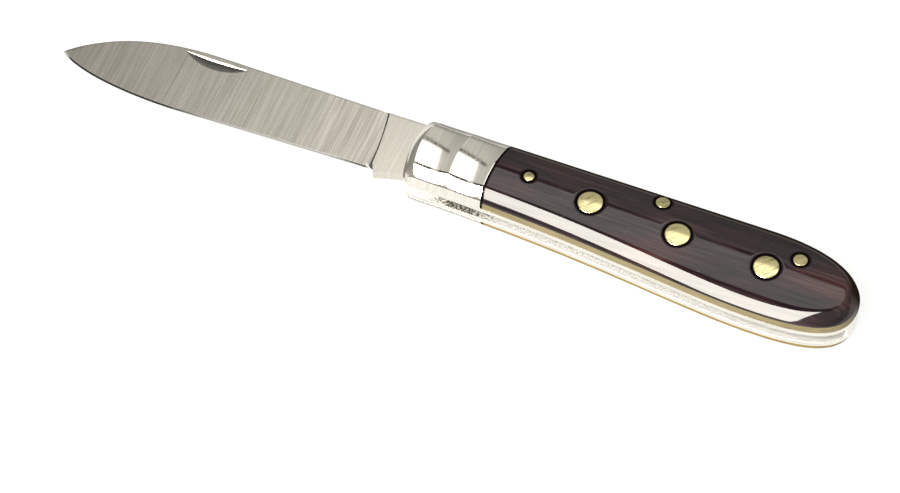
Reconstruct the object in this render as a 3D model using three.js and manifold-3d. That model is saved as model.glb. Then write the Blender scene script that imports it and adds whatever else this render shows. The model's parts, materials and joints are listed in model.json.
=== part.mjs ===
// A one-blade slip-joint folding knife, lying open on its pile side.
// Design frame, in millimetres: x runs from the front of the bolsters (0) back to the tail, y points
// to the backspring side and z points to the mark side, with the middle of the blade slot at z = 0.
import * as THREE from 'three';
import { mergeVertices } from 'three/addons/utils/BufferGeometryUtils.js';
import Module from 'manifold-3d';

const wasm = await Module();
wasm.setup();

// ---------------------------------------------------------------- driving dimensions
const SLOT_HALF = 1.25;              // half the gap between the liners
const LINER = 1.25;                  // liner thickness
const COVER_BASE = SLOT_HALF + LINER;
const HALF_THICKNESS = 6.875;        // middle of the slot to the top of the crown
const BLADE_HALF = 1.2;              // half the thickness of the ricasso and tang
const RUNNING = 0.05;                // radial clearance of the blade on its pivot
const SEATED = 0.02;                 // radial clearance of a fixed pin in its hole
const FLAT_GAP = 0.04;               // clearance between the tang's flats and the spring

const SPRING_EDGE = 8.2;             // y of the straight back of the handle
const BOLSTER_EDGE = -7.6;           // y of the well side where the bolster's front corner ends
const TAIL = { x: 98.1, y: -3.5 };   // rearmost point of the handle
const BELLY = { x: 80, y: -12.4 };   // widest point on the well side
const FRONT = { radius: 20, y: 0.5 };                // plan curve of the bolster front
const JOINT = { x: 18.7, y: -3, radius: 42 };        // plan curve between bolster and scale
const JOINT_GAP = 0.04;

const PIVOT = { x: 7.6, y: -0.8, r: 1.6 };
const CLOSING = THREE.MathUtils.degToRad(175);       // turn of the blade from open to closed
const CAM_FLAT = 5;                  // pivot to the spring's underside
const CAM_ROUND = 5.6;               // pivot to the rounded end of the tang
const NOSE = 3.7;                    // x of the front end of the backspring

const CROWN_RADIUS = 28;             // across the handle
const CROWN_SIDES = 48;              // facets in the full crown circle
const CROWN_LINE = { y0: 0.3, y1: -2.2 };            // crown centre at the front and at the tail
const FLANK = { from: 2.5, lean: 0.235 };            // nearly upright sides of the covers
const SHOULDER = { from: 3.8, lean: 1 };             // slope between flank and crown
const BEVEL = { run: 2.7, drop: 4.2 };               // bolster front bevel
const SCALLOP = { length: 8, depth: 0.35, steps: 8 };

const PIN_AT = {                     // centres of the pins and rivets
  front: [26.5, 0.3],
  spring: [53.9, 4.6],
  end: [84.2, 1.5],
  largeFront: [40.35, -0.9],
  largeMiddle: [59.4, -1.7],
  largeRear: [78.45, -2.5],
  bolsterUpper: [13.6, 4.4],
  bolsterLower: [14.2, -4.5],
};

const GRIND = { start: -7.2, edgeY: -7, spineY: 8, edgeHalf: 0.12, spineHalf: 1.1 };
const NAIL_NICK = { x: -47.9, y: 7.2, half: 7.4, rise: 2.35, floor: 0.62 };

const FAR = 130;                     // beyond every edge of the knife, for cutting tools
const OVER = 8;                      // a through pin's half length before it is cut flush
const SPIN = 24;                     // sides of a round pin
const PIVOT_SIDES = 32;

// ---------------------------------------------------------------- materials
const finish = (color, roughness, metalness) => ({ color, roughness, metalness });
const BLADE_STEEL = finish(0xc9c5bd, 0.42, 1);
const SPRING_STEEL = finish(0xd8d4c8, 0.35, 1);
const NICKEL_SILVER = finish(0xdedacb, 0.22, 1);
const DARK_WOOD = finish(0x2a1d1f, 0.3, 0);
const BRASS = finish(0xd9c07a, 0.3, 1);

// ---------------------------------------------------------------- solids
function toSolid(geometry) {
  const bare = geometry.clone();
  bare.deleteAttribute('normal');
  bare.deleteAttribute('uv');
  const merged = mergeVertices(bare, 1e-5);
  return new wasm.Manifold(new wasm.Mesh({
    numProp: 3,
    vertProperties: merged.attributes.position.array,
    triVerts: merged.index.array,
  }));
}

function toGeometry(solid) {
  const { vertProperties, triVerts } = solid.getMesh();
  const geometry = new THREE.BufferGeometry();
  geometry.setAttribute('position', new THREE.BufferAttribute(vertProperties, 3));
  geometry.setIndex(new THREE.BufferAttribute(triVerts, 1));
  geometry.computeVertexNormals();
  return geometry;
}

// A flat outline raised from z = low to z = high.
function plate(shape, low, high, curveSegments = 14) {
  const geometry = new THREE.ExtrudeGeometry(shape, { depth: high - low, bevelEnabled: false, curveSegments });
  return toSolid(geometry.translate(0, 0, low));
}

// A round bar along z, between two heights.
function bar([x, y], radius, low, high, sides = SPIN) {
  const geometry = new THREE.CylinderGeometry(radius, radius, high - low, sides);
  return toSolid(geometry.rotateX(Math.PI / 2).translate(x, y, (low + high) / 2));
}

// The same solid on the pile side. Mirroring turns each face over, so its corners are put in reverse.
function mirrored(solid) {
  const geometry = toGeometry(solid).scale(1, 1, -1);
  const corners = geometry.index.array;
  for (let i = 0; i < corners.length; i += 3) {
    [corners[i], corners[i + 1]] = [corners[i + 1], corners[i]];
  }
  return toSolid(geometry);
}

// ---------------------------------------------------------------- outlines
// From the belly side of the bolster round the tail and along the straight back.
function traceHandle(shape) {
  shape.bezierCurveTo(45, -8, 62, BELLY.y, BELLY.x, BELLY.y);
  shape.bezierCurveTo(91.5, BELLY.y, TAIL.x, -10.2, TAIL.x, TAIL.y);
  shape.bezierCurveTo(TAIL.x, 4.2, 89.5, SPRING_EDGE, 76, SPRING_EDGE);
  shape.lineTo(2.6, SPRING_EDGE);
}

function handleOutline() {
  const corner = { top: 7, bottom: -5.9 };             // y where the front curve ends
  const frontX = (y) => FRONT.radius - Math.sqrt(FRONT.radius ** 2 - (y - FRONT.y) ** 2);
  const angle = (y) => Math.PI - Math.asin((y - FRONT.y) / FRONT.radius);
  const shape = new THREE.Shape();
  shape.moveTo(frontX(corner.top), corner.top);
  shape.absarc(FRONT.radius, FRONT.y, FRONT.radius, angle(corner.top), angle(corner.bottom), false);
  shape.quadraticCurveTo(1.4, -7.4, 3, BOLSTER_EDGE);
  traceHandle(shape);
  shape.quadraticCurveTo(1.35, SPRING_EDGE, frontX(corner.top), corner.top);
  return shape;
}

// The same outline with its two long sides carried on past the front, for cutting leaning sides.
function outlineCarriedForward() {
  const ahead = -12;
  const shape = new THREE.Shape();
  shape.moveTo(ahead, SPRING_EDGE);
  shape.lineTo(ahead, BOLSTER_EDGE);
  shape.lineTo(3, BOLSTER_EDGE);
  traceHandle(shape);
  return shape;
}

// Everything behind the curved joint between bolster and scale.
function behindJoint(gap) {
  const reach = 14;                                    // half the height of the curve that is used
  const radius = JOINT.radius - gap;
  const centre = JOINT.x + JOINT.radius;
  const angle = Math.asin(reach / radius);
  const shape = new THREE.Shape();
  shape.moveTo(FAR, JOINT.y + reach);
  shape.lineTo(centre - radius * Math.cos(angle), JOINT.y + reach);
  shape.absarc(centre, JOINT.y, radius, Math.PI - angle, Math.PI + angle, false);
  shape.lineTo(FAR, JOINT.y - reach);
  return shape;
}

function bladeOutline() {
  const tip = [-80.1, -1.9];
  const flat = CAM_FLAT - FLAT_GAP;
  const half = Math.sqrt(CAM_ROUND ** 2 - flat ** 2);  // half the length of each flat's contact
  const along = [-Math.cos(CLOSING), Math.sin(CLOSING)];     // along the closed flat, to the rear
  const out = [Math.sin(CLOSING), Math.cos(CLOSING)];        // out of the closed flat
  const onFlat = (s) => [
    PIVOT.x + out[0] * flat + along[0] * s,
    PIVOT.y + out[1] * flat + along[1] * s,
  ];
  const kick = onFlat(-13.6);
  const roundStart = Math.atan2(onFlat(half)[1] - PIVOT.y, onFlat(half)[0] - PIVOT.x);
  const roundEnd = Math.atan2(flat, half);
  const step = NOSE - 0.1;                             // x of the shoulder in front of the spring
  const spine = 8;

  const shape = new THREE.Shape();
  shape.moveTo(...tip);
  shape.bezierCurveTo(-76.5, -4.9, -66, -7.1, -52, -7.05);
  shape.lineTo(-7.2, -5.75);
  shape.quadraticCurveTo(-6.6, -4.6, -6.05, -5.3);     // choil notch
  shape.lineTo(...kick);
  shape.quadraticCurveTo(-2.2, -5.7, 1.2, -5.1);       // relief between kick and tang flat
  shape.lineTo(...onFlat(-3.2));
  shape.lineTo(...onFlat(half));
  shape.absarc(PIVOT.x, PIVOT.y, CAM_ROUND, roundStart, roundEnd, false);
  shape.lineTo(step, PIVOT.y + flat);
  shape.lineTo(step, spine);
  shape.lineTo(-46, 8.3);
  shape.bezierCurveTo(-60, 8.4, -71.5, 6, ...tip);
  return shape;
}

// The region that the backspring keeps out of the handle outline.
function springRegion() {
  const underside = PIVOT.y + CAM_FLAT;
  const shape = new THREE.Shape();
  shape.moveTo(NOSE, 20);
  shape.lineTo(NOSE, underside);
  shape.lineTo(21.6, underside);
  shape.bezierCurveTo(35, underside, 42, 2.7, 54, 2.7);      // deepens round the spring pin
  shape.bezierCurveTo(68, 2.7, 74, 0.6, 84, -0.9);
  shape.bezierCurveTo(90, -1.9, 94.2, -4.1, 96.9, -6.9);     // fills the tail above the blade tip
  shape.lineTo(FAR, -20);
  shape.lineTo(FAR, 20);
  return shape;
}

// ---------------------------------------------------------------- the handle's outer envelope
const crownTilt = Math.atan2(CROWN_LINE.y1 - CROWN_LINE.y0, TAIL.x);
const crownCentre = (x) => CROWN_LINE.y0 + Math.tan(crownTilt) * x;
const crownHeight = ([x, y]) =>
  HALF_THICKNESS - CROWN_RADIUS + Math.sqrt(CROWN_RADIUS ** 2 - (y - crownCentre(x)) ** 2);

// A body turned about a line below the handle. Its top is the crown of one side, with the bolster's
// front bevel and two shallow hollows turned into it, and one of its facets lies level on top.
function crown() {
  const bevelFoot = CROWN_RADIUS - BEVEL.drop;
  const profile = [[0, -FAR], [bevelFoot, -FAR], [bevelFoot, 0]];
  for (let bay = 0; bay < 2; bay += 1) {
    for (let i = 0; i < SCALLOP.steps; i += 1) {
      const across = (2 * i) / SCALLOP.steps - 1;      // -1 at the front of the hollow, 1 at its rear
      const sunk = SCALLOP.depth * (1 - across ** 2);
      profile.push([CROWN_RADIUS - sunk, BEVEL.run + SCALLOP.length * (bay + i / SCALLOP.steps)]);
    }
  }
  profile.push([CROWN_RADIUS, BEVEL.run + 2 * SCALLOP.length], [CROWN_RADIUS, FAR], [0, FAR]);

  const facet = Math.PI / CROWN_SIDES;
  const points = profile.map(([r, x]) => new THREE.Vector2(r / Math.cos(facet), x));
  const geometry = new THREE.LatheGeometry(points, CROWN_SIDES, -facet, 2 * Math.PI);
  geometry.rotateZ(-Math.PI / 2 + crownTilt);          // the turning axis now runs along the handle
  return toSolid(geometry.translate(0, CROWN_LINE.y0, HALF_THICKNESS - CROWN_RADIUS));
}

const markCrown = crown();
const envelope = markCrown.intersect(mirrored(markCrown));

// ---------------------------------------------------------------- pins and rivets
// Each has a shank, a wider head of some depth below the crown, and the side or sides it goes through.
const small = { shank: 1, head: 1.45, deep: 0.8 };
const short = { shank: 0.8, head: 1.1, deep: 0.8 };
const large = { shank: 1.2, head: 2.6, deep: 1.4 };
const hidden = { shank: 0.9, head: 0.9, deep: 0.6 };
const FASTENERS = {
  pivot_pin: { at: [PIVOT.x, PIVOT.y], shank: PIVOT.r, head: PIVOT.r, deep: 0, side: 'both' },
  spring_pin: { at: PIN_AT.spring, ...small, side: 'both' },
  end_pin: { at: PIN_AT.end, ...small, side: 'both' },
  mark_front_pin: { at: PIN_AT.front, ...short, side: 'mark' },
  pile_front_pin: { at: PIN_AT.front, ...short, side: 'pile' },
  large_rivet_front: { at: PIN_AT.largeFront, ...large, side: 'mark' },
  large_rivet_middle: { at: PIN_AT.largeMiddle, ...large, side: 'mark' },
  large_rivet_rear: { at: PIN_AT.largeRear, ...large, side: 'mark' },
  mark_bolster_rivet_upper: { at: PIN_AT.bolsterUpper, ...hidden, side: 'mark', blind: true },
  mark_bolster_rivet_lower: { at: PIN_AT.bolsterLower, ...hidden, side: 'mark', blind: true },
  pile_bolster_rivet_upper: { at: PIN_AT.bolsterUpper, ...hidden, side: 'pile', blind: true },
  pile_bolster_rivet_lower: { at: PIN_AT.bolsterLower, ...hidden, side: 'pile', blind: true },
};

// The upper half of a fastener, from z = low, with its end standing clear of the crown unless blind.
function upperHalf(fastener, low, clearance) {
  const { at, shank, head, deep, blind } = fastener;
  const under = crownHeight(at) - deep;
  const reach = blind ? under + clearance : OVER;
  const stem = bar(at, shank + clearance, low, reach);
  return head > shank ? stem.add(bar(at, head + clearance, under - clearance, reach)) : stem;
}

function fastenerBody(fastener, clearance = 0) {
  if (fastener.side === 'both') {
    const half = upperHalf(fastener, -SLOT_HALF / 2, clearance);
    return half.add(mirrored(half));
  }
  const half = upperHalf(fastener, SLOT_HALF - clearance, clearance);
  return fastener.side === 'mark' ? half : mirrored(half);
}

// Cuts the holes of the fasteners that go through the given side.
function drilled(solid, side) {
  return Object.values(FASTENERS)
    .filter((fastener) => fastener.side === side || fastener.side === 'both')
    .reduce((piece, fastener) => piece.subtract(fastenerBody(fastener, SEATED)), solid);
}

// ---------------------------------------------------------------- pieces of the handle, mark side
const liner = plate(handleOutline(), SLOT_HALF, COVER_BASE);

// The handle outline carried straight on past its front, raised with sides that lean in above a height.
function leaning({ from, lean }) {
  const rise = HALF_THICKNESS - from;
  const geometry = new THREE.ExtrudeGeometry(outlineCarriedForward(), {
    depth: OVER,
    bevelThickness: rise,
    bevelSize: rise * lean,
    bevelOffset: -rise * lean,
    bevelSegments: 1,
    curveSegments: 14,
  });
  return toSolid(geometry.translate(0, 0, from - OVER));
}

// Bolster and scale start as one cover: upright flanks, sloping shoulders and a crown.
const cover = plate(handleOutline(), COVER_BASE, OVER)
  .intersect(leaning(FLANK))
  .intersect(leaning(SHOULDER))
  .intersect(envelope);

const bolster = cover.subtract(plate(behindJoint(-JOINT_GAP), 0, OVER, 24));
const scale = cover.intersect(plate(behindJoint(0), 0, OVER, 24));

function backspring() {
  const strip = plate(handleOutline(), -SLOT_HALF, SLOT_HALF);
  return strip.intersect(plate(springRegion(), -OVER, OVER));
}

// ---------------------------------------------------------------- blade
// What the grinding wheel takes off the mark side: all above a plane leaning from spine to edge.
function groundAway() {
  const lean = Math.atan2(GRIND.spineHalf - GRIND.edgeHalf, GRIND.spineY - GRIND.edgeY);
  const geometry = new THREE.BoxGeometry(FAR, FAR, FAR);
  geometry.translate(-FAR / 2, 0, FAR / 2);
  geometry.rotateX(lean);
  return toSolid(geometry.translate(GRIND.start, GRIND.edgeY, GRIND.edgeHalf));
}

// A nail nick: straight along its upper side and round below.
function nailNick() {
  const { x, y, half, rise, floor } = NAIL_NICK;
  const radius = (half ** 2 + rise ** 2) / (2 * rise);
  const angle = Math.asin(half / radius);
  const shape = new THREE.Shape();
  shape.moveTo(x - half, y);
  shape.absarc(x, y - rise + radius, radius, -Math.PI / 2 - angle, -Math.PI / 2 + angle, false);
  return plate(shape, floor, OVER);
}

function blade() {
  const ground = groundAway();
  return plate(bladeOutline(), -BLADE_HALF, BLADE_HALF)
    .subtract(ground)
    .subtract(mirrored(ground))
    .subtract(nailNick())
    .subtract(bar([PIVOT.x, PIVOT.y], PIVOT.r + RUNNING, -OVER, OVER, PIVOT_SIDES));
}

// ---------------------------------------------------------------- assembly
const knife = new THREE.Group();
knife.name = 'folding_knife';
// The whole knife lies centred over the origin on its lowest facet.
knife.position.set(-9, 2.05, HALF_THICKNESS);

function add(name, solid, material) {
  const mesh = new THREE.Mesh(toGeometry(solid), new THREE.MeshStandardMaterial(material));
  mesh.name = name;
  knife.add(mesh);
}

add('blade', blade(), BLADE_STEEL);
add('backspring', drilled(backspring(), 'both'), SPRING_STEEL);
for (const [side, place] of [['mark', (solid) => solid], ['pile', mirrored]]) {
  add(`${side}_liner`, drilled(place(liner), side), NICKEL_SILVER);
  add(`${side}_bolster`, drilled(place(bolster), side), NICKEL_SILVER);
  add(`${side}_scale`, drilled(place(scale), side), DARK_WOOD);
}
for (const [name, fastener] of Object.entries(FASTENERS)) {
  const inMetal = fastener.blind || name === 'pivot_pin';
  add(name, fastenerBody(fastener).intersect(envelope), inMetal ? NICKEL_SILVER : BRASS);
}

export default knife;
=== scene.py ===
"""A slip-joint folding knife, lying open on its pile side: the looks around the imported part.

Shapes are worked out in the knife's own frame, in millimetres: x runs from the front of the bolsters back
to the tail, y points to the backspring side and z to the mark side, with the middle of the blade slot at
z = 0. row_points() puts them in the row frame, in metres.
"""
import json
import math

import bmesh
import bpy
import numpy as np
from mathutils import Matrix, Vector
from mathutils.geometry import delaunay_2d_cdt


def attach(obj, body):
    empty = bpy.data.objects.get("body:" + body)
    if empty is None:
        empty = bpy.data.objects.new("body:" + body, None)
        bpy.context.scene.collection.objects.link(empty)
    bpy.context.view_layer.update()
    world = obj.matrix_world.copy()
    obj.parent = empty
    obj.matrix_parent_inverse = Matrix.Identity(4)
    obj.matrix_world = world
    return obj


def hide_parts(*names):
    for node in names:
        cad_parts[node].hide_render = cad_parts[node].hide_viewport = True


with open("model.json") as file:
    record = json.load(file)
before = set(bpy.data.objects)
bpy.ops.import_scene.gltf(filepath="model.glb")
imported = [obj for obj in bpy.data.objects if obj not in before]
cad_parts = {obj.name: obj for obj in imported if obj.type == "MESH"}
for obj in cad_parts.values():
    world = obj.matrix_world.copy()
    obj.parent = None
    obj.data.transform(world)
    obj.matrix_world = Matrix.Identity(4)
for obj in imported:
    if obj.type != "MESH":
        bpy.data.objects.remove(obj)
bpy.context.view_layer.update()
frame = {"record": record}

# ---------------------------------------------------------------- dimensions, in millimetres
PIVOT = (7.6, -0.8)
SLOT_HALF = 1.25
LINER_TOP = 2.5
TOP = 6.875                     # height of the crown over the middle of the slot
BLADE_HALF = 1.2

TAIL = 98.1                     # x of the handle's end
SPRING_EDGE = 8.2
BOLSTER_EDGE = -7.6
CORNER_X = 3.0                  # where the bolster's front corner runs into the belly line
BELLY = -12.4                   # y of the handle's widest point
FRONT = {"radius": 20.0, "y": 0.5, "top": 7.0, "bottom": -5.9}
JOINT = {"x": 18.7, "y": -3.0, "radius": 42.0}
JOINT_GAP = 0.04
WOOD_EDGE = {"run": 0.3, "drop": 0.12}      # how the faces round off at the joint
METAL_EDGE = {"run": 0.12, "drop": 0.06}

CROWN_RADIUS = 28.0
CROWN_LINE = (0.3, -2.5 / TAIL)  # y of the crown's centre at x = 0, and its slope
FAN_X = 87.5                    # the tail's surface lines spread out from here

# How a flank and shoulder run: height and inset of the arris between them, then the shoulder's width
# and fullness
BELLY_SIDE = {"arris": 4.0, "inset": 0.42, "width": 2.9, "power": 1.8}
SPRING_SIDE = {"arris": 3.4, "inset": 0.22, "width": 3.2, "power": 2.0}
ROUNDING = {"rise": 0.14, "run": 0.5}
SHADED_RIM_WIDTH = {"wood": 1.5, "metal": 1.4}     # of the painted shade along the spring side, a darker rim without gloss

BEVEL = {"run": 2.7, "drop": 4.2, "steep": 0.31}    # steep: the share of the run that is steep
BAY = {"length": 8.0, "depth": 0.36}

SMALL, LARGE, SHORT = 1.45, 2.6, 1.1    # radii of the pin and rivet heads
HEAD_DOME = 19.0                # radius of the heads' domes
DISH = {"ring": 0.9, "depth": 0.03, "hole": 1.2}    # the wood's hollow round a head
PINS = {
    "front_pin": ((26.5, 0.3), SHORT),
    "spring_pin": ((53.9, 4.6), SMALL),
    "end_pin": ((84.2, 1.5), SMALL),
}
PIVOT_RADIUS, PIVOT_END = 1.6, 6.0
BOLSTER_RIVET_RADIUS = 0.9
BOLSTER_RIVET_ENDS = (1.27, 5.6)
BOLSTER_RIVETS = {"upper": (13.6, 4.4), "lower": (14.2, -4.5)}
RIVETS = {
    "large_rivet_front": ((40.35, -0.9), LARGE),
    "large_rivet_middle": ((59.4, -1.7), LARGE),
    "large_rivet_rear": ((78.45, -2.5), LARGE),
}

pivot_row = Vector(frame["record"]["behaviour"]["joints"][0]["pos_m"]) * 1000
SHIFT = np.array([pivot_row.x - PIVOT[0], pivot_row.y - PIVOT[1], pivot_row.z])


def row_points(points):
    """Points of the knife's own frame in the row frame, in metres."""
    return (np.asarray(points, float) + SHIFT) / 1000


# ---------------------------------------------------------------- curves
def bezier(p0, p1, p2, p3, count=60):
    t = np.linspace(0, 1, count + 1)[:, None]
    p0, p1, p2, p3 = (np.array(p, float) for p in (p0, p1, p2, p3))
    return (1 - t) ** 3 * p0 + 3 * (1 - t) ** 2 * t * p1 + 3 * (1 - t) * t**2 * p2 + t**3 * p3


def quadratic(p0, p1, p2, count=10):
    t = np.linspace(0, 1, count + 1)[:, None]
    p0, p1, p2 = (np.array(p, float) for p in (p0, p1, p2))
    return (1 - t) ** 2 * p0 + 2 * (1 - t) * t * p1 + t**2 * p2


def arc(centre, radius, start, end, count):
    a = np.linspace(start, end, count + 1)
    return np.stack([centre[0] + radius * np.cos(a), centre[1] + radius * np.sin(a)], 1)


def circle(centre, radius, sides=48):
    return arc(centre, radius, 0, 2 * math.pi * (sides - 1) / sides, sides - 1)


def evenly(points, spacing):
    """The same line with points a fixed distance apart."""
    steps = np.r_[0, np.cumsum(np.linalg.norm(np.diff(points, axis=0), axis=1))]
    at = np.linspace(0, steps[-1], max(2, int(round(steps[-1] / spacing)) + 1))
    return np.stack([np.interp(at, steps, points[:, i]) for i in range(2)], 1)


def smooth(t):
    t = np.clip(t, 0, 1)
    return t * t * (3 - 2 * t)


def front_x(y):
    return FRONT["radius"] - math.sqrt(FRONT["radius"] ** 2 - (y - FRONT["y"]) ** 2)


BELLY_CURVE = np.vstack([
    bezier((CORNER_X, BOLSTER_EDGE), (45, -8), (62, BELLY), (80, BELLY)),
    bezier((80, BELLY), (91.5, BELLY), (TAIL, -10.2), (TAIL, -3.5), 120)[1:],
])
BACK_CURVE = bezier((TAIL, -3.5), (TAIL, 4.2), (89.5, SPRING_EDGE), (76, SPRING_EDGE), 120)
LOW_CORNER = quadratic((front_x(FRONT["bottom"]), FRONT["bottom"]), (1.4, -7.4), (CORNER_X, BOLSTER_EDGE))
HIGH_CORNER = quadratic((2.6, SPRING_EDGE), (1.35, SPRING_EDGE), (front_x(FRONT["top"]), FRONT["top"]))


def handle_outline():
    front = arc(
        (FRONT["radius"], FRONT["y"]),
        FRONT["radius"],
        math.pi - math.asin((FRONT["top"] - FRONT["y"]) / FRONT["radius"]),
        math.pi - math.asin((FRONT["bottom"] - FRONT["y"]) / FRONT["radius"]),
        40,
    )
    return np.vstack([front, LOW_CORNER[1:], BELLY_CURVE[1:], BACK_CURVE[1:], HIGH_CORNER[:-1]])


def low_y(x):
    return np.interp(x, BELLY_CURVE[:, 0], BELLY_CURVE[:, 1])


def joint_bow(y):
    """How far back of its middle the curved joint between bolster and scale is, at y."""
    return JOINT["radius"] - np.sqrt(JOINT["radius"] ** 2 - (y - JOINT["y"]) ** 2)


def middle_y(x):
    """y of the crown's highest line."""
    return CROWN_LINE[0] + CROWN_LINE[1] * x


def crown(x, y):
    """Height of the crowned face of a scale or bolster, before its shoulders."""
    return TOP - CROWN_RADIUS + np.sqrt(CROWN_RADIUS**2 - (y - middle_y(x)) ** 2)


def rim_shade(inset, width):
    """1 along the edge, fading to 0 further in."""
    return smooth(2.1 - inset / width)


def eased(reach, count, power):
    """Distances from 0 to reach, closer together at the start."""
    return reach * np.linspace(0, 1, count) ** power


def side_profile(inset, top, top_at_edge, spring_side):
    """Height at an inset from the outline: flank, a small rounding of the arris, then a shoulder that eases
    into the given top. spring_side goes from 0 on the belly side to 1 on the spring side."""
    mix = {k: BELLY_SIDE[k] + (SPRING_SIDE[k] - BELLY_SIDE[k]) * spring_side for k in BELLY_SIDE}
    flank = LINER_TOP + (mix["arris"] - ROUNDING["rise"] - LINER_TOP) * inset / mix["inset"]
    along = np.clip((inset - mix["inset"]) / mix["width"], 0, 1)
    rounding = np.clip(1 - (inset - mix["inset"]) / ROUNDING["run"], 0, 1)
    fall = np.maximum(top_at_edge - mix["arris"], 0)
    return np.minimum(flank, top - fall * (1 - along) ** mix["power"] - ROUNDING["rise"] * rounding**2)


# ---------------------------------------------------------------- meshes
def make_piece(name, bm, sharp_deg=28.0):
    """The bmesh, given in the knife's own frame, as a smooth-shaded object in the row frame."""
    bmesh.ops.remove_doubles(bm, verts=bm.verts, dist=1e-4)
    bmesh.ops.dissolve_degenerate(bm, edges=bm.edges, dist=1e-5)
    bmesh.ops.recalc_face_normals(bm, faces=bm.faces)
    for v in bm.verts:
        v.co = Vector(row_points(v.co))
    mesh = bpy.data.meshes.new(name)
    bm.to_mesh(mesh)
    bm.free()
    mesh.shade_smooth()
    mesh.set_sharp_from_angle(angle=math.radians(sharp_deg))
    piece = bpy.data.objects.new(name, mesh)
    bpy.context.scene.collection.objects.link(piece)
    return piece


def add_grid(bm, points, **values):
    """Quads between the rows of a grid of points. Each named grid of values becomes a vertex attribute."""
    rows, columns = points.shape[:2]
    layers = {name: bm.verts.layers.float.new(name) for name in values}
    made = [[bm.verts.new(points[i, j]) for j in range(columns)] for i in range(rows)]
    for name, layer in layers.items():
        for i in range(rows):
            for j in range(columns):
                made[i][j][layer] = values[name][i, j]
    for i in range(rows - 1):
        for j in range(columns - 1):
            bm.faces.new((made[i][j], made[i + 1][j], made[i + 1][j + 1], made[i][j + 1]))
    return made


def add_wall(bm, line, z):
    """A wall from a line of vertices straight to the height z."""
    feet = [bm.verts.new((v.co.x, v.co.y, z)) for v in line]
    for i in range(len(line) - 1):
        bm.faces.new((line[i], line[i + 1], feet[i + 1], feet[i]))


def close_up(bm):
    bmesh.ops.remove_doubles(bm, verts=bm.verts, dist=1e-4)
    open_edges = [e for e in bm.edges if e.is_boundary]
    bmesh.ops.holes_fill(bm, edges=open_edges, sides=0)


def mirror(bm):
    for v in bm.verts:
        v.co.z = -v.co.z


def slab(name, outline, low, high, bevel=0.07):
    """A flat plate of an outline with softly broken edges."""
    bm = bmesh.new()
    under, over = ([bm.verts.new((x, y, z)) for x, y in outline] for z in (low, high))
    bm.faces.new(under[::-1])
    bm.faces.new(over)
    for i in range(-1, len(outline) - 1):
        bm.faces.new((under[i], under[i + 1], over[i + 1], over[i]))
    piece = make_piece(name, bm)
    soften = piece.modifiers.new("edges", "BEVEL")
    soften.width = bevel / 1000
    soften.segments = 2
    soften.limit_method = "ANGLE"
    soften.angle_limit = math.radians(50)
    soften.harden_normals = True
    return piece


# ---------------------------------------------------------------- scales
def pin_effects(x, y, heads):
    """How far the wood lies below its crown near the pins, and how stained it is there."""
    sink = np.zeros_like(x)
    stain_and_joint_shade = np.zeros_like(x)
    for (px, py), radius in heads:
        r = np.hypot(x - px, y - py)
        inside = radius + DISH["ring"] - r
        dish = head_dome(radius) + DISH["depth"]
        sink = np.maximum(sink, dish * smooth(inside / DISH["ring"]))
        sink = np.maximum(sink, DISH["hole"] * smooth((radius - 0.1 - r) / 0.4))
        stain_and_joint_shade = np.maximum(stain_and_joint_shade, smooth(inside / (0.55 * DISH["ring"])))
    return sink, stain_and_joint_shade


def head_dome(radius):
    """How far a head's rim lies below its middle, on top of the crown's own fall."""
    return radius**2 / (2 * HEAD_DOME)


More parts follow.
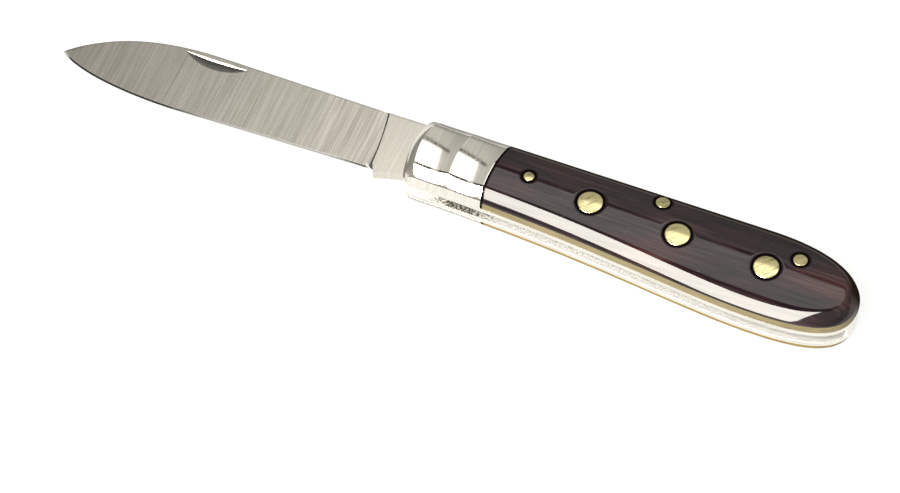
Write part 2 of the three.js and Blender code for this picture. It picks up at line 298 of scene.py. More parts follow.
def scale_surface(heads):
    """Rows of surface points, one row for each line from the outline to the middle of the handle, and the
    values that the wood's material reads at each point."""
    stations = np.linspace(JOINT["x"], FAN_X, 215)
    fan_low = BELLY_CURVE[BELLY_CURVE[:, 0] > FAN_X]
    fan_high = BACK_CURVE[BACK_CURVE[:, 0] > FAN_X]
    fan = evenly(np.vstack([fan_low, fan_high[1:]]), 0.38)
    back = stations[::-1]
    high_y = np.interp(back, BACK_CURVE[::-1, 0], BACK_CURVE[::-1, 1])
    feet = np.vstack([
        np.column_stack([stations, low_y(stations)]),
        fan[1:-1],
        np.column_stack([back, high_y]),
    ])
    middle_x = np.minimum(feet[:, 0], FAN_X)
    middles = np.column_stack([middle_x, middle_y(middle_x)])
    # sides goes from 0 on the belly side, round the tail, to 1 on the spring side
    round_the_tail = smooth((fan[1:-1, 1] + 8) / 14)
    sides = np.r_[np.zeros(len(stations)), round_the_tail, np.ones(len(stations))][:, None]

    reach = np.linalg.norm(middles - feet, axis=1)[:, None]
    inward = (middles - feet) / reach
    tangent = np.gradient(feet, axis=0)
    tangent /= np.linalg.norm(tangent, axis=1)[:, None]
    squareness = np.abs(inward[:, 0] * tangent[:, 1] - inward[:, 1] * tangent[:, 0])[:, None]
    squareness[: len(stations)] = np.abs(tangent[: len(stations), :1])
    squareness[-len(stations):] = np.abs(tangent[-len(stations):, :1])

    arris = BELLY_SIDE["inset"] + (SPRING_SIDE["inset"] - BELLY_SIDE["inset"]) * sides
    up_flank = arris * np.array([0, 0.35, 0.7, 0.96])
    shoulder = arris + eased(3.2, 24, 1.6)
    rest = shoulder[:, -1:] + (reach - shoulder[:, -1:]) * np.linspace(0, 1, 21)[1:]
    along = np.hstack([up_flank, shoulder, rest])
    x = feet[:, :1] + inward[:, :1] * along
    y = feet[:, 1:] + inward[:, 1:] * along

    weight = smooth(1 - (feet[:, :1] - JOINT["x"]) / 24)
    x = x + joint_bow(y) * weight
    low_shift = low_y(x[:, :1]) - low_y(feet[:, :1])
    is_low = np.arange(len(feet))[:, None] < len(stations)
    y = y + np.where(is_low, low_shift * (1 - along / reach), 0)

    top = crown(x, y)
    z = side_profile(along * squareness, top, crown(x[:, :1], y[:, :1]), sides)
    sink, stain_and_joint_shade = pin_effects(x, y, heads)
    from_joint = x - joint_bow(y) - JOINT["x"]
    # painted shade: near-black colour and no gloss along the joint with the bolster, for the shaded gap
    # there
    stain_and_joint_shade = np.maximum(stain_and_joint_shade, smooth((0.6 - from_joint) / 0.35))
    z = z - sink - WOOD_EDGE["drop"] * (1 - np.clip(from_joint / WOOD_EDGE["run"], 0, 1)) ** 2
    z = np.maximum(z, LINER_TOP)
    # where the belly-side flank gets a lighter colour, as painted light
    flank = (along < 0.97 * arris) * (1 - smooth(sides * 2))
    # painted shade: a darker rim without gloss along the spring side
    rim = rim_shade(along, SHADED_RIM_WIDTH["wood"]) * smooth(sides * 2)
    return np.stack([x, y, z], 2), {"stain_and_joint_shade": stain_and_joint_shade, "flank": flank, "rim": rim}


def make_scale(name, heads, mirrored):
    points, marks = scale_surface(heads)
    bm = bmesh.new()
    made = add_grid(bm, points, **marks)
    for line in (made[0], made[-1]):
        add_wall(bm, line, LINER_TOP)
    close_up(bm)
    if mirrored:
        mirror(bm)
    return make_piece(name, bm, 40)


# ---------------------------------------------------------------- bolsters
def bolster_front(y):
    """x of the bolster's front edge at y, with its rounded corners."""
    arc_x = FRONT["radius"] - np.sqrt(FRONT["radius"] ** 2 - (y - FRONT["y"]) ** 2)
    low_x = np.interp(y, LOW_CORNER[::-1, 1], LOW_CORNER[::-1, 0])
    high_x = np.interp(y, HIGH_CORNER[::-1, 1], HIGH_CORNER[::-1, 0])
    return np.where(y > FRONT["top"], high_x, np.where(y < FRONT["bottom"], low_x, arc_x))


def bolster_surface():
    """Rows of surface points, each across the bolster, and how much of the painted shade along the
    spring-side rim each point has.
    """
    ridge = BEVEL["run"] / JOINT["x"]
    crest = ridge + BAY["length"] / JOINT["x"]
    edge_run = METAL_EDGE["run"] / JOINT["x"]
    bevel_rows = np.linspace(0, ridge, 13)
    bay = np.linspace(0, 1, 25)[1:]
    rows = np.r_[bevel_rows, ridge + (crest - ridge) * bay, crest + (1 - crest) * bay]
    rows = np.insert(rows, -1, 1 - edge_run)
    near = np.r_[0, 0.16, 0.32, 0.41, BELLY_SIDE["inset"] + eased(3.1, 25, 1.4)]
    far = np.r_[0, 0.08, 0.16, 0.21, SPRING_SIDE["inset"] + eased(3.2, 23, 1.6)]
    middle = np.linspace(BOLSTER_EDGE + near[-1], SPRING_EDGE - far[-1], 26)[1:-1]
    y = np.r_[BOLSTER_EDGE + near, middle, SPRING_EDGE - far[::-1]][None, :]

    front = bolster_front(y)
    joint = JOINT["x"] - JOINT_GAP + joint_bow(y)
    along = rows[:, None]
    x = front + (joint - front) * along
    # the belly side runs slightly outward behind the front corner
    outward = low_y(np.maximum(x, CORNER_X)) - BOLSTER_EDGE
    y = y + outward * np.clip(y / BOLSTER_EDGE, 0, 1)

    steep = BEVEL["steep"]
    share = np.clip(along / ridge, 0, 1)
    upper = np.clip((share - steep) / (1 - steep), 0, 1)
    rise = (1 - steep) * np.minimum(share / steep, 1) + steep * (0.7 * upper + 0.3 * (1 - (1 - upper) ** 2))
    within = np.where(along < crest, (along - ridge) / (crest - ridge), (along - crest) / (1 - crest))
    hollow = np.where(along > ridge, BAY["depth"] * (1 - (2 * within - 1) ** 2), 0)
    rounded = np.clip((along - (1 - edge_run)) / edge_run, 0, 1)
    below_crown = BEVEL["drop"] * (1 - rise) + hollow + METAL_EDGE["drop"] * rounded
    top = crown(x, y) - below_crown

    low_edge = low_y(np.maximum(x, CORNER_X))
    z = np.where(
        y < 0,
        side_profile(y - low_edge, top, crown(x, low_edge) - below_crown, 0.0),
        side_profile(SPRING_EDGE - y, top, crown(x, SPRING_EDGE) - below_crown, 1.0),
    )
    # painted shade along the spring-side rim
    rim = rim_shade(SPRING_EDGE - y, SHADED_RIM_WIDTH["metal"]) * np.ones_like(x)
    return np.stack([x, y, np.maximum(z, LINER_TOP + 0.02)], 2), rim


def make_bolster(name, mirrored):
    points, rim = bolster_surface()
    bm = bmesh.new()
    made = add_grid(bm, points, rim=rim)
    for line in (made[0], made[-1], [row[0] for row in made], [row[-1] for row in made]):
        add_wall(bm, line, LINER_TOP)
    close_up(bm)
    if mirrored:
        mirror(bm)
    return make_piece(name, bm, 15)


# ---------------------------------------------------------------- pins and rivets
def add_head(bm, centre, radius, up, shank_end):
    """A low domed head that follows the crown, with a rounded rim, on a shank to the height shank_end."""
    rim = 0.1
    rings = [0.0, 0.2, 0.4, 0.6, 0.78, 0.9, 0.96]
    radii = [r * (radius - rim) / 0.96 for r in rings]
    drops = [head_dome(radius) * (r / radius) ** 2 for r in radii]
    for turn in np.linspace(0, math.pi / 2, 5)[1:]:
        radii.append(radius - rim + rim * math.sin(turn))
        drops.append(head_dome(radius) + rim * (1 - math.cos(turn)))
    sides = 64
    loops = []
    for r, drop in zip(radii, drops):
        loop = []
        for i in range(sides):
            a = 2 * math.pi * i / sides
            x, y = centre[0] + r * math.cos(a), centre[1] + r * math.sin(a)
            loop.append(bm.verts.new((x, y, up * (float(crown(x, y)) - drop))))
        loops.append(loop)
    loops.append([bm.verts.new((v.co.x, v.co.y, up * shank_end)) for v in loops[-1]])
    for inner, outer in zip(loops, loops[1:]):
        for i in range(sides):
            j = (i + 1) % sides
            bm.faces.new((inner[i], inner[j], outer[j], outer[i]))


def make_head(name, centre, radius, up):
    bm = bmesh.new()
    add_head(bm, centre, radius, up, SLOT_HALF)
    close_up(bm)
    return make_piece(name, bm, 40)


def make_through_pin(name, centre, radius):
    bm = bmesh.new()
    add_head(bm, centre, radius, 1, 0.0)
    add_head(bm, centre, radius, -1, 0.0)
    close_up(bm)
    return make_piece(name, bm, 40)


def make_post(name, centre, radius, low, high):
    """A plain round pin between two heights."""
    return slab(name, circle(centre, radius), low, high)


# ---------------------------------------------------------------- blade
TIP = (-80.1, -1.9)
HEEL = (-7.2, -5.75)
STRAIGHT = (-52, -7.05)         # the edge is straight from here to the heel
EDGE = np.vstack([
    bezier(TIP, (-76.5, -4.9), (-66, -7.1), STRAIGHT, 90),
    [(-40, -6.702), (-30, -6.412), (-20, -6.121), (-8, -5.773), HEEL],
])
SPINE = np.vstack([
    [(3.6, 8), (-10, 8.08), (-20, 8.14), (-34, 8.23)],
    bezier((-46, 8.3), (-60, 8.4), (-71.5, 6), TIP, 90),
])
# Half the thickness at the very edge and how fast the honed bevel thickens, then the same for the
# ground face
GRIND = {"edge": 0.005, "honed": 0.33, "face": 0.117, "ground": 0.0637}
HONED = 0.42                    # width of the honed bevel
CHAMFER = 0.16                  # width of the broken edge along the spine
CHAMFER_DROP = 0.14             # how far that edge falls off on each face
SPINE_SHADE_REACH = 0.4                      # how far from the spine the painted shade beside it reaches
# half is half the nick's length, rise its height, slope and wall how steep its two planes are
NICK = {"x": -47.9, "y": 7.2, "half": 7.4, "rise": 2.35, "slope": 0.15, "wall": 1.0}

CLOSED_DEG = 175
CAM_FLAT, CAM_ROUND = 5.0, 5.6  # from the pivot to the tang's flats and to its rounded end
CAM_GAP = 0.04                  # between the tang's flats and the backspring
TANG_BORE = 1.65
MESH_STEP = 0.8                 # spacing of the blade's plan points


def tang_outline():
    """From the end of the edge round the tang to the spine's rear corner."""
    closing = math.radians(CLOSED_DEG)
    flat = CAM_FLAT - CAM_GAP
    half = math.sqrt(CAM_ROUND**2 - flat**2)
    out = np.array([math.sin(closing), math.cos(closing)])
    back = np.array([-math.cos(closing), math.sin(closing)])

    def on_flat(s):
        return np.array(PIVOT) + out * flat + back * s

    start = math.atan2(*(on_flat(half) - PIVOT)[::-1])
    end = math.atan2(flat, half)
    return np.vstack([
        quadratic(HEEL, (-6.6, -4.6), (-6.05, -5.3)),
        [on_flat(-13.6)],
        quadratic(on_flat(-13.6), (-2.2, -5.7), (1.2, -5.1))[1:],
        [on_flat(-3.2), on_flat(half)],
        arc(PIVOT, CAM_ROUND, start, end, 24)[1:],
        [(3.6, PIVOT[1] + flat), (3.6, 8)],
    ])


def segment_distance(points, line):
    """Shortest distance from each point to a line of segments."""
    best = np.full(len(points), 1e9)
    for a, b in zip(line[:-1], line[1:]):
        ab = b - a
        t = np.clip(((points - a) @ ab) / max(ab @ ab, 1e-12), 0, 1)
        best = np.minimum(best, np.linalg.norm(points - a - t[:, None] * ab, axis=1))
    return best


def inset_line(line, inset):
    """The edge or the spine, moved into the blade."""
    tangent = np.gradient(line, axis=0)
    tangent /= np.linalg.norm(tangent, axis=1)[:, None]
    return line + inset * np.stack([-tangent[:, 1], tangent[:, 0]], 1)


def plunge_x(y):
    """x of the ricasso's front border at y, a slightly curved line that leans forward towards the spine."""
    rise = y + 5
    return -6.45 - 0.0558 * rise - 0.00577 * rise**2


def plunge_run(y):
    """Length of the curved step from the ground face up to the ricasso, longer towards the edge."""
    return 0.34 + 0.4 * np.clip((5 - y) / 11, 0, 1) ** 2


def nick_low_y(x):
    """y of the nick's lower border, an arc under its straight upper one."""
    radius = (NICK["half"] ** 2 + NICK["rise"] ** 2) / (2 * NICK["rise"])
    centre = NICK["y"] - NICK["rise"] + radius
    return centre - np.sqrt(np.maximum(radius**2 - (x - NICK["x"]) ** 2, 0))


def nick_valley_y(x):
    """Where the nick's gentle slope meets its steep upper wall."""
    low = nick_low_y(x)
    return low + (NICK["y"] - low) * NICK["wall"] / (NICK["wall"] + NICK["slope"])


def blade_half(points, with_nick):
    """Half the blade's thickness at each plan point."""
    x, y = points[:, 0], points[:, 1]
    from_edge = segment_distance(points, np.vstack([EDGE, [(4, -5.4)]]))
    bevel = GRIND["edge"] + GRIND["honed"] * from_edge
    ground = np.minimum(bevel, GRIND["face"] + GRIND["ground"] * from_edge)
    up_the_plunge = smooth((x - plunge_x(y) + plunge_run(y)) / plunge_run(y))
    half = ground + (BLADE_HALF - ground) * up_the_plunge
    from_back = segment_distance(points, SPINE)
    # the spine's broken edge runs out over the last 6 mm before the tip
    behind_tip = np.clip((x + 79.5) / 6, 0, 1)
    half = half - CHAMFER_DROP * behind_tip * np.clip(1 - from_back / CHAMFER, 0, 1)
    if with_nick:
        low = nick_low_y(x)
        inside = (np.abs(x - NICK["x"]) < NICK["half"]) & (y > low) & (y < NICK["y"])
        deep = np.minimum(NICK["slope"] * (y - low), NICK["wall"] * (NICK["y"] - y))
        half = np.where(inside, half - deep, half)
    return half


def blade_plan():
    """Plan points and triangles of the blade, with lines along every feature."""
    outline = np.vstack([EDGE, tang_outline()[1:], SPINE[1:-1]])
    points = [tuple(p) for p in evenly_by_parts(outline)]
    edges = [(i, (i + 1) % len(points)) for i in range(len(points))]

    def add_line(line, closed=False):
        first = len(points)
        points.extend(tuple(p) for p in line)
        count = len(line)
        edges.extend((first + i, first + i + 1) for i in range(count - 1))
        if closed:
            edges.append((first + count - 1, first))

    for share in (-0.12, 0.0, 0.2, 0.4, 0.6, 0.8, 1.0, 1.12):
        ys = np.linspace(-5.0, 7.9, 30)
        add_line(np.stack([plunge_x(ys) - share * plunge_run(ys), ys], 1))
    xs = NICK["x"] + NICK["half"] * np.linspace(-1, 1, 61)
    for outside in (0.0, 0.07):
        add_line(np.stack([xs, nick_low_y(xs) - outside], 1))
    add_line(np.stack([xs, np.full(61, NICK["y"])], 1))
    add_line(np.stack([xs, nick_valley_y(xs)], 1)[2:-2])
    add_line(np.stack([xs, nick_valley_y(xs) - 0.07], 1)[5:-5])
    # the line where the honed bevel meets the ground face, and the broken edge along the spine
    for inset in (HONED, HONED + 0.1):
        add_line(inset_line(EDGE, inset)[6:-1])
    add_line(inset_line(SPINE, CHAMFER)[:-8])
    add_line(inset_line(SPINE, SPINE_SHADE_REACH)[:-12])
    add_line(circle(PIVOT, TANG_BORE), closed=True)
    # points over the faces, in rows that aren't quite straight
    for x in np.arange(-79, 13, MESH_STEP):
        for y in np.arange(-6.9, 8.2, MESH_STEP):
            points.append((x + 0.17 * math.sin(3 * y), y))
    co, _, faces, *_ = delaunay_2d_cdt([Vector(p) for p in points], edges, [], 1, 1e-5)
    co = np.array([tuple(v) for v in co])
    kept = [f for f in faces if np.linalg.norm(co[list(f)].mean(0) - PIVOT) > TANG_BORE - 0.01]
    return co, kept


def evenly_by_parts(outline):
    """The outline with its long straight parts divided."""
    out = []
    for a, b in zip(outline, np.roll(outline, -1, axis=0)):
        steps = max(1, int(np.linalg.norm(b - a) / MESH_STEP))
        out.extend(a + (b - a) * i / steps for i in range(steps))
    return out


def blade_marks(co):
    """The values that the blade's material reads at each plan point."""
    x, y = co[:, 0], co[:, 1]
    behind = x - plunge_x(y)
    from_plunge = np.abs(behind / plunge_run(y) + 0.5)
    spine_shade = 0.5 * smooth((SPINE_SHADE_REACH - segment_distance(co, SPINE)) / (SPINE_SHADE_REACH - CHAMFER))
    low, valley = nick_low_y(x), nick_valley_y(x)
    in_nick = (np.abs(x - NICK["x"]) < NICK["half"]) & (y > low - 0.02) & (y < valley - 0.04)
    up_the_nick = np.clip((y - low) / np.maximum(valley - low, 0.1), 0, 1)
    return {
        # painted shade in the nick: half strength at its low border, full by its steep wall
        "nick": in_nick * (0.5 + 0.5 * up_the_nick),
        "honed": smooth((HONED + 0.1 - segment_distance(co, EDGE)) / 0.08),
        "ricasso": smooth(behind / 0.3 + 0.5),
        # painted shade: dark in the plunge's crease and, at half strength, beside the spine
        "corner": np.maximum(smooth((0.62 - from_plunge) / 0.2), spine_shade),
    }


def make_blade():
    co, faces = blade_plan()
    upper = np.column_stack([co, blade_half(co, True)])
    lower = np.column_stack([co, -blade_half(co, False)])
    marks = blade_marks(co)
    bm = bmesh.new()
    layers = {name: bm.verts.layers.float.new(name) for name in marks}
    tops = [bm.verts.new(p) for p in upper]
    bottoms = [bm.verts.new(p) for p in lower]
    for name, layer in layers.items():
        for i, value in enumerate(marks[name]):
            tops[i][layer] = value
            bottoms[i][layer] = 0.0 if name == "nick" else value
    sides = {}
    for f in faces:
        bm.faces.new([tops[i] for i in f])
        bm.faces.new([bottoms[i] for i in reversed(f)])
        sides.update(dict.fromkeys(zip(f, f[1:] + f[:1])))
    # a side that only one face uses is on the outline or the bore, and gets a wall
    for a, b in sides:
        if (b, a) not in sides:
            bm.faces.new((tops[b], tops[a], bottoms[a], bottoms[b]))
    loose = [v for v in bm.verts if not v.link_faces]
    bmesh.ops.delete(bm, geom=loose, context="VERTS")
    return make_piece("knife_blade", bm, 12)


# ---------------------------------------------------------------- backspring
def spring_outline():
    """The handle outline's spring side, closed along the spring's underside."""
    underside = PIVOT[1] + CAM_FLAT
    below = np.vstack([
        [(3.7, underside), (12, underside)],
        bezier((21.6, underside), (35, underside), (42, 2.7), (54, 2.7)),
        bezier((54, 2.7), (68, 2.7), (74, 0.6), (84, -0.9))[1:],
        bezier((84, -0.9), (90, -1.9), (94.2, -4.1), (96.9, -6.9))[1:],
    ])
    end = below[-1]
    tail = BELLY_CURVE[(BELLY_CURVE[:, 1] > end[1]) & (BELLY_CURVE[:, 0] > 90)]
    return np.vstack([below, tail, BACK_CURVE[1:], [(3.7, SPRING_EDGE)]])


# ---------------------------------------------------------------- materials
class Nodes:
    """A short way to write a material's node tree."""

    def __init__(self, name):
        self.material = bpy.data.materials.new(name)
        self.material.use_nodes = True
        self.tree = self.material.node_tree
        self.shader = self.tree.nodes["Principled BSDF"]

    def node(self, kind, settings=None, **inputs):
        made = self.tree.nodes.new(kind)
        for key, value in (settings or {}).items():
            setattr(made, key, value)
        for key, value in inputs.items():
            self.feed(made, key.replace("_", " "), value)
        return made

    def feed(self, node, socket, value):
        if isinstance(value, bpy.types.NodeSocket):
            self.tree.links.new(value, node.inputs[socket])
        else:
            node.inputs[socket].default_value = value

    def attribute(self, name):
        return self.node("ShaderNodeAttribute", {"attribute_name": name}).outputs["Fac"]

    def coordinates(self, scale, turn=0.0):
        """Object coordinates, in metres, turned about z and then scaled along each axis."""
        source = self.node("ShaderNodeTexCoord").outputs["Object"]
        turned = self.node("ShaderNodeVectorRotate", {"rotation_type": "Z_AXIS"}, Vector=source, Angle=turn)
        scaled = self.node("ShaderNodeVectorMath", {"operation": "MULTIPLY"})
        self.feed(scaled, 0, turned.outputs[0])
        self.feed(scaled, 1, scale)
        return scaled.outputs[0]

    def noise(self, scale, turn=0.0, detail=4.0, roughness=0.6, distortion=0.0):
        """Noise stretched by its own scale along each axis."""
        return self.node(
            "ShaderNodeTexNoise",
            Vector=self.coordinates(scale, turn),
            Scale=1.0,
            Detail=detail,
            Roughness=roughness,
            Distortion=distortion,
        ).outputs["Fac"]

    def spread(self, value, low, high, to_low, to_high):
        return self.node(
            "ShaderNodeMapRange",
            Value=value,
            **{"From Min": low, "From Max": high, "To Min": to_low, "To Max": to_high},
        ).outputs[0]

    def math(self, operation, a, b):
        made = self.node("ShaderNodeMath", {"operation": operation})
        self.feed(made, 0, a)
        self.feed(made, 1, b)
        return made.outputs[0]

    def ramp(self, value, stops):
        made = self.node("ShaderNodeValToRGB", Fac=value)
        ramp = made.color_ramp
        while len(ramp.elements) < len(stops):
            ramp.elements.new(0.5)
        for element, (position, colour) in zip(ramp.elements, stops):
            element.position = position
            element.color = (*colour, 1)
        return made.outputs["Color"]

    def mix(self, share, a, b, blend="MIX"):
        made = self.node("ShaderNodeMix", {"data_type": "RGBA", "blend_type": blend})
        self.feed(made, 0, share)
        self.feed(made, 6, a if isinstance(a, bpy.types.NodeSocket) else (*a, 1))
        self.feed(made, 7, b if isinstance(b, bpy.types.NodeSocket) else (*b, 1))
        return made.outputs[2]

    def bump(self, height, strength, distance):
        return self.node("ShaderNodeBump", Height=height, Strength=strength, Distance=distance).outputs[0]

    def finish(self, **inputs):
        for key, value in inputs.items():
            self.feed(self.shader, key.replace("_", " "), value)
        return self.material


def satin_blade():
    """Blade steel ground across the blade, so that fine lines run from spine to edge."""
    n = Nodes("blade_steel_satin")
    fine = n.noise((5000, 70, 70), detail=3)
    broad = n.noise((2000, 50, 50), detail=3)
    cloud = n.noise((60, 60, 60), detail=2)
    lines = n.math("ADD", n.math("MULTIPLY", fine, 0.6), n.math("MULTIPLY", broad, 0.4))
    ground = n.ramp(lines, [
        (0.34, (0.30, 0.28, 0.245)),
        (0.5, (0.41, 0.39, 0.35)),
        (0.66, (0.54, 0.515, 0.47)),
    ])
    flat = n.ramp(lines, [
        (0.3, (0.60, 0.57, 0.50)),
        (0.5, (0.66, 0.63, 0.56)),
        (0.72, (0.72, 0.69, 0.63)),
    ])
    ricasso = n.attribute("ricasso")
    corner = n.attribute("corner")
    nick = n.attribute("nick")
    honed = n.attribute("honed")
    # painted shade: near-black in the plunge's crease and beside the spine
    colour = n.mix(corner, n.mix(ricasso, ground, flat), (0.07, 0.06, 0.05))
    # painted shade: the nick's hollow is dark grey
    colour = n.mix(nick, n.mix(honed, colour, (0.8, 0.79, 0.76)), (0.06, 0.063, 0.062))
    rough = n.math("ADD", n.spread(lines, 0.3, 0.7, 0.30, 0.2), n.spread(cloud, 0.3, 0.7, -0.02, 0.03))
    rough = n.math("MULTIPLY", rough, n.spread(honed, 0.0, 1.0, 1.0, 0.35))
    return n.finish(
        Base_Color=colour,
        Metallic=1.0,
        Roughness=rough,
        Normal=n.bump(lines, 0.08, 0.00002),
    )


def polished_metal(name, colour, roughness, along, turn=0.0, wear=0.3, relief=0.12, grazing=1.0):
    """Polished metal with faint buffing lines, fingerprints of roughness and a slight tone change. grazing
    is how much of the brightness at a shallow angle is left."""
    n = Nodes(name)
    lines = n.noise(along, turn, detail=5)
    cloud = n.noise((140, 140, 140), detail=3)
    dark = tuple(c * (1 - wear) for c in colour)
    tone = n.ramp(n.math("ADD", n.math("MULTIPLY", lines, 0.75), n.math("MULTIPLY", cloud, 0.25)),
                  [(0.36, dark), (0.5, colour), (0.66, tuple(min(1, c * 1.1) for c in colour))])
    rough = n.math("ADD", n.spread(lines, 0.3, 0.7, roughness * 1.35, roughness * 0.75),
                   n.spread(cloud, 0.35, 0.7, -0.015, 0.03))
    # painted shade: along the spring-side rim the tone falls to 40 % and the surface turns rougher
    rim = n.attribute("rim")
    tone = n.mix(rim, tone, tuple(0.4 * c for c in colour))
    rough = n.math("ADD", rough, n.math("MULTIPLY", rim, 0.25))
    return n.finish(
        Base_Color=tone,
        Metallic=1.0,
        Roughness=rough,
        Specular_Tint=(grazing, grazing, grazing, 1),
        Normal=n.bump(lines, relief, 0.00001),
    )


def liner_inside_with_painted_shade():
    """The liners' inner faces: dull metal, with painted shade near the pivot, dark and speckled, for the
    shaded slot round the tang.
    """
    n = Nodes("liner_inside")
    cloud = n.noise((1600, 1600, 1600), detail=4)
    source = n.node("ShaderNodeTexCoord").outputs["Object"]
    x = n.node("ShaderNodeSeparateXYZ", Vector=source).outputs["X"]
    # painted shade: dark, speckled colour round x = 5 mm near the pivot, turning light further along
    from_painted_shade = n.math("ABSOLUTE", n.math("SUBTRACT", x, 0.005), 0.0)
    away = n.spread(from_painted_shade, 0.002, 0.012, 0.1, 1.0)
    lit_share = n.math("ADD", away, n.spread(cloud, 0.4, 0.6, -0.2, 0.35))
    colour = n.ramp(lit_share, [(0.1, (0.12, 0.105, 0.08)), (0.6, (0.74, 0.73, 0.72))])
    return n.finish(Base_Color=colour, Metallic=1.0, Roughness=n.spread(cloud, 0.3, 0.7, 0.5, 0.65))


def dark_wood(name, flank, flank_gloss):
    """Near-black purple-brown wood under a clear gloss: grain along the handle, redder patches, short pale
    pores, a flank painted lighter as painted light, painted shade along the spring-side rim and the bolster
    joint, and the gloss lost where the wood is stained round each pin."""
    n = Nodes(name)
    grain = n.noise((70, 1500, 1500), detail=8, roughness=0.65, distortion=0.4)
    broad = n.noise((22, 190, 190), detail=4)
    streaks = n.math("ADD", n.math("MULTIPLY", grain, 0.65), n.math("MULTIPLY", broad, 0.35))
    plain = n.ramp(streaks, [(0.34, (0.002, 0.0012, 0.0016)), (0.52, (0.008, 0.0045, 0.006)),
                             (0.7, (0.027, 0.016, 0.019))])
    red = n.ramp(streaks, [(0.32, (0.003, 0.0012, 0.0013)), (0.5, (0.020, 0.0075, 0.0075)),
                           (0.68, (0.054, 0.024, 0.020))])
    where = n.noise((38, 120, 120), detail=2)
    colour = n.mix(n.spread(where, 0.42, 0.62, 0.0, 0.85), plain, red)
    pores = n.noise((520, 3600, 3600), detail=2, roughness=0.5)
    flecks = n.spread(pores, 0.73, 0.8, 0.0, 0.6)
    colour = n.mix(flecks, colour, (0.10, 0.08, 0.075))
    on_painted_flank = n.attribute("flank")
    on_shaded_rim = n.attribute("rim")
    # painted light: the flank gets the lighter colour given in flank
    colour = n.mix(on_painted_flank, colour, n.ramp(grain, [(0.3, tuple(0.7 * c for c in flank)), (0.6, flank)]))
    # painted shade: one flat dark brown along the spring-side rim
    colour = n.mix(on_shaded_rim, colour, (0.016, 0.010, 0.006))
    # near-black where the wood is stained round the pins, and painted shade along the bolster joint
    stain_and_joint_shade = n.attribute("stain_and_joint_shade")
    colour = n.mix(stain_and_joint_shade, colour, (0.0015, 0.001, 0.0012))
    coat = n.math("MULTIPLY", n.spread(stain_and_joint_shade, 0.0, 0.9, 1.0, 0.0), n.spread(streaks, 0.3, 0.6, 0.82, 1.0))
    coat = n.math("MULTIPLY", coat, n.spread(on_painted_flank, 0.0, 1.0, 1.0, flank_gloss))
    # no gloss on the painted shade along the spring-side rim
    coat = n.math("MULTIPLY", coat, n.spread(on_shaded_rim, 0.0, 1.0, 1.0, 0.0))
    return n.finish(
        Base_Color=colour,
        Roughness=0.5,
        Specular_IOR_Level=0.0,
        Coat_Weight=coat,
        Coat_Roughness=0.05,
        Coat_IOR=1.5,
        Coat_Normal=n.bump(grain, 0.1, 0.00002),
        Normal=n.bump(grain, 0.3, 0.00004),
    )


def paint(piece, material, body, slot, *nodes):
    """Gives a new piece its material and its body, and hides the CAD nodes it stands for. slot is not used.
    """
    piece.data.materials.clear()
    piece.data.materials.append(material)
    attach(piece, body)
    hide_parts(*nodes)


BLADE_STEEL = satin_blade()
NICKEL_SILVER = polished_metal(
    "nickel_silver_polished", (0.80, 0.775, 0.70), 0.105, (2200, 90, 90),
    wear=0.12, relief=0.03, grazing=0.6,
)
LINER_METAL = polished_metal("liner_metal", (0.80, 0.78, 0.71), 0.2, (90, 90, 2600), wear=0.15)
LINER_INSIDE = liner_inside_with_painted_shade()
SPRING_STEEL = polished_metal("spring_steel", (0.74, 0.72, 0.67), 0.24, (90, 90, 2600), wear=0.2)
BRASS = polished_metal(
    "brass_brushed", (0.66, 0.59, 0.31), 0.2, (220, 2000, 2000), turn=math.radians(-43), wear=0.6
)
# painted light on the flanks: olive on the mark side, golden on the pile side
MARK_WOOD = dark_wood("dark_wood_mark_side", (0.14, 0.115, 0.06), 0.9)
PILE_WOOD = dark_wood("dark_wood_pile_side", (0.24, 0.16, 0.035), 0.1)

# ---------------------------------------------------------------- pieces
paint(make_blade(), BLADE_STEEL, "blade", "blade_steel", "blade")

spring = slab("back_spring", spring_outline(), -SLOT_HALF + 0.01, SLOT_HALF - 0.01)
paint(spring, SPRING_STEEL, "handle", "spring_steel", "backspring")

for side, up in (("mark", 1), ("pile", -1)):
    low, high = sorted((up * SLOT_HALF, up * LINER_TOP))
    liner = slab(f"{side}_side_liner", handle_outline(), low, high)
    paint(liner, LINER_METAL, "handle", "nickel_silver", f"{side}_liner")
    liner.data.materials.append(LINER_INSIDE)
    for face in liner.data.polygons:
        face.material_index = int(face.normal.z * up < -0.9)
    bolster = make_bolster(f"{side}_side_bolster", up < 0)
    paint(bolster, NICKEL_SILVER, "handle", "nickel_silver", f"{side}_bolster")
    heads = list(PINS.values()) + (list(RIVETS.values()) if up > 0 else [])
    scale = make_scale(f"{side}_side_scale", heads, up < 0)
    paint(scale, MARK_WOOD if up > 0 else PILE_WOOD, "handle", "dark_wood", f"{side}_scale")
    front = make_head(f"{side}_side_front_pin", *PINS["front_pin"], up)
    paint(front, BRASS, "handle", "brass", f"{side}_front_pin")

for name in ("spring_pin", "end_pin"):
    pin = make_through_pin(f"through_{name}", *PINS[name])
    paint(pin, BRASS, "handle", "brass", name)
for name, (centre, radius) in RIVETS.items():
    paint(make_head(f"{name}_head", centre, radius, 1), BRASS, "handle", "brass", name)

# the pivot pin and the bolster rivets are polished away in the bolsters' faces, so they stop under them
pivot = make_post("pivot", PIVOT, PIVOT_RADIUS, -PIVOT_END, PIVOT_END)
paint(pivot, NICKEL_SILVER, "handle", "nickel_silver", "pivot_pin")
for side, up in (("mark", 1), ("pile", -1)):
    for end, centre in BOLSTER_RIVETS.items():
        low, high = sorted(up * z for z in BOLSTER_RIVET_ENDS)
        rivet = make_post(f"{side}_side_rivet_{end}", centre, BOLSTER_RIVET_RADIUS, low, high)
        paint(rivet, NICKEL_SILVER, "handle", "nickel_silver", f"{side}_bolster_rivet_{end}")


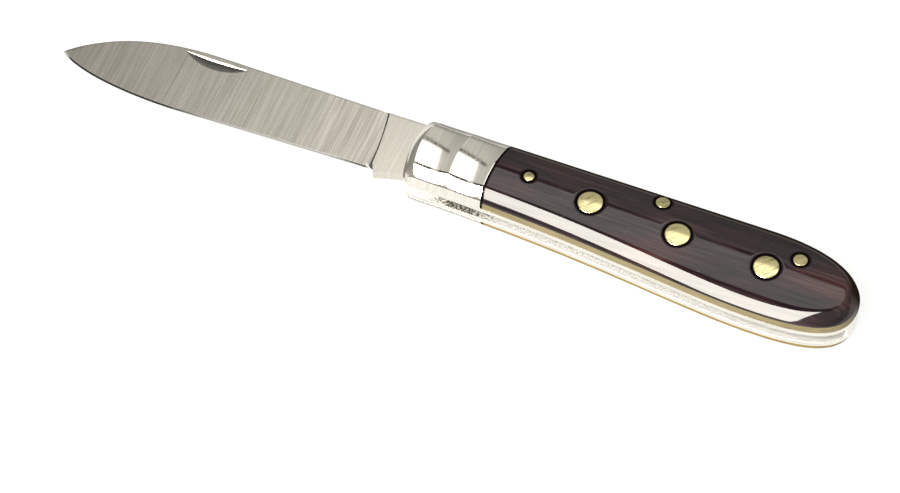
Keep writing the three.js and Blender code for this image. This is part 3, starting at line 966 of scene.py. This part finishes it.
# ---------------------------------------------------------------- stage, light and camera
def make_floor():
    """A white table that gives most of its brightness itself, so that the knife's shadow stays faint."""
    bm = bmesh.new()
    bmesh.ops.create_circle(bm, cap_ends=True, segments=96, radius=6.0)
    mesh = bpy.data.meshes.new("floor")
    bm.to_mesh(mesh)
    bm.free()
    floor = bpy.data.objects.new("floor", mesh)
    bpy.context.scene.collection.objects.link(floor)
    n = Nodes("pale_floor")
    n.finish(Base_Color=(0.08, 0.08, 0.08, 1), Roughness=0.9, Specular_IOR_Level=0.1,
             Emission_Color=(1, 1, 0.99, 1), Emission_Strength=0.9)
    mesh.materials.append(n.material)


def make_world():
    """A grey room that is lighter overhead and slightly lighter towards the handle's end."""
    world = bpy.data.worlds.new("studio")
    bpy.context.scene.world = world
    world.use_nodes = True
    tree = world.node_tree
    background = tree.nodes["Background"]
    source = tree.nodes.new("ShaderNodeTexCoord")
    lean = tree.nodes.new("ShaderNodeVectorMath")
    lean.operation = "DOT_PRODUCT"
    lean.inputs[1].default_value = (0.15, 0.0, 0.9)
    ramp = tree.nodes.new("ShaderNodeValToRGB")
    tree.links.new(source.outputs["Generated"], lean.inputs[0])
    tree.links.new(lean.outputs["Value"], ramp.inputs[0])
    tree.links.new(ramp.outputs[0], background.inputs["Color"])
    stops = ((0.0, 0.3), (0.2, 0.38), (0.4, 0.48), (0.55, 0.6), (0.7, 0.66), (0.9, 0.7))
    while len(ramp.color_ramp.elements) < len(stops):
        ramp.color_ramp.elements.new(0.5)
    for element, (position, grey) in zip(ramp.color_ramp.elements, stops):
        element.position = position
        element.color = (grey, grey * 0.975, grey * 0.93, 1)
    background.inputs["Strength"].default_value = 1.0


PANEL_Z = 0.8                   # height of the panels and cards, in metres


def soft_box(name, centre, size, radiance, tint):
    """A level panel over the table that gives light of the given radiance."""
    data = bpy.data.lights.new(name, "AREA")
    data.shape = "RECTANGLE"
    data.size, data.size_y = size
    data.energy = radiance * math.pi * size[0] * size[1]
    data.color = tint
    panel = bpy.data.objects.new(name, data)
    panel.location = (*centre, PANEL_Z)
    panel.visible_camera = False
    bpy.context.scene.collection.objects.link(panel)


def make_card(name, low, high):
    """A black card beside the panels, between two corners, for a dark line along polished edges. The camera
    doesn't see it."""
    bm = bmesh.new()
    corners = (low, (high[0], low[1]), high, (low[0], high[1]))
    bm.faces.new([bm.verts.new((x, y, PANEL_Z)) for x, y in corners])
    mesh = bpy.data.meshes.new(name)
    bm.to_mesh(mesh)
    bm.free()
    card = bpy.data.objects.new(name, mesh)
    card.visible_camera = False
    bpy.context.scene.collection.objects.link(card)
    mesh.materials.append(Nodes(name).finish(Base_Color=(0.01, 0.01, 0.01, 1), Roughness=0.9))


def make_camera():
    data = bpy.data.cameras.new("camera")
    data.sensor_width = 36
    data.lens = 117.1
    data.clip_start, data.clip_end = 0.01, 50
    camera = bpy.data.objects.new("camera", data)
    camera.location = (0.15366, -0.3033, 0.50521)
    camera.rotation_euler = [math.radians(a) for a in (32.88, 2.494, 23.092)]
    bpy.context.scene.collection.objects.link(camera)
    bpy.context.scene.camera = camera


make_floor()
make_world()
soft_box("overhead", (0.125, 0.26), (0.85, 0.48), 1.3, (1, 0.99, 0.965))
soft_box("strip", (-0.23, -1.35), (0.76, 2.1), 22.0, (1, 0.965, 0.88))
make_card("card_over_tip", (-0.8, -0.3), (-0.33, 0.02))
make_card("card_over_handle", (-0.228, -0.3), (0.4, 0.02))
make_card("card_behind_overhead", (-0.45, 0.51), (0.55, 0.57))
make_camera()
bpy.context.scene.view_settings.view_transform = "Standard"
